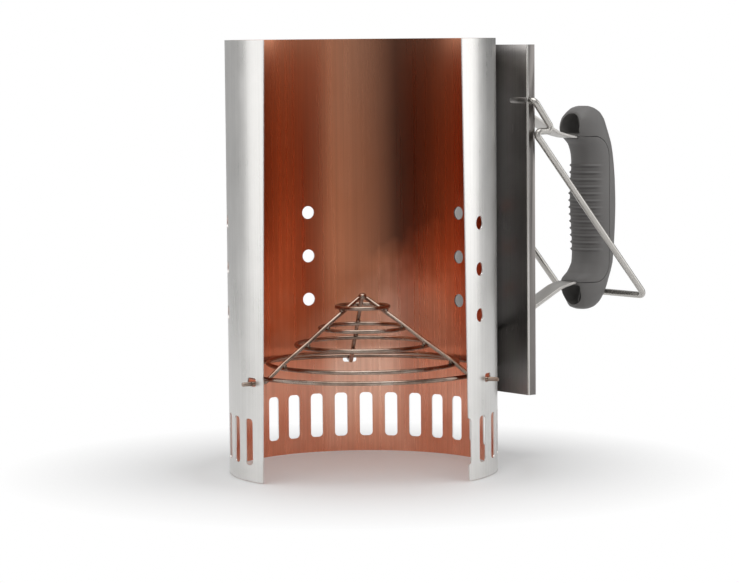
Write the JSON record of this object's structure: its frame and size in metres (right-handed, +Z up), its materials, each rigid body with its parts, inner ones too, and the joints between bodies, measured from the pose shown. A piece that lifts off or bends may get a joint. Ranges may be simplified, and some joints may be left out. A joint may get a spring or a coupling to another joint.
{
  "type": "chimney charcoal starter",
  "caption": "Cut-away steel chimney for lighting charcoal: slotted cylinder, cone-shaped wire grate, heat shield, plastic grip on a steel strap and a swinging wire bail.",
  "frame": {"origin": "centre of the whole starter's footprint box on the plane that it stands on", "axes": "+Z up along the cylinder; +X out from the cylinder towards the grip; +Y along the bail's hinge line"},
  "size_m": [0.3416, 0.1894, 0.305],
  "materials": {
    "shell_steel": "bright satin aluminised sheet",
    "shield_steel": "satin, darkened by heat",
    "grate_steel": "drawn wire, heat tinted",
    "bracket_steel": "satin plated strip",
    "fastener_steel": "plated",
    "bail_wire": "bright plated wire",
    "grip_plastic": "fine moulded texture"
  },
  "bodies": {
    "chimney": {"body_shell": "shell_steel", "grate_ring_1": "grate_steel", "grate_ring_2": "grate_steel", "grate_ring_3": "grate_steel", "grate_ring_4": "grate_steel", "grate_ring_5": "grate_steel", "grate_spoke_1": "grate_steel", "grate_spoke_2": "grate_steel", "grate_spoke_3": "grate_steel", "heat_shield": "shield_steel", "upper_bracket": "bracket_steel", "lower_bracket": "bracket_steel", "strap_rivet_1": "fastener_steel", "strap_rivet_2": "fastener_steel", "strap_rivet_3": "fastener_steel", "strap_rivet_4": "fastener_steel", "handle_strap": "bracket_steel", "grip_finger_half": "grip_plastic", "grip_palm_half": "grip_plastic", "grip_screw_1": "fastener_steel", "grip_screw_2": "fastener_steel"},
    "bail": {"bail_handle": "bail_wire"}
  },
  "joints": [
    {"name": "bail_swing", "type": "hinge", "parent": "chimney", "child": "bail", "pos_m": [0.05379, -0.00054, 0.26], "axis": [0, -1, 0], "range_deg": [0, 190]}
  ]
}
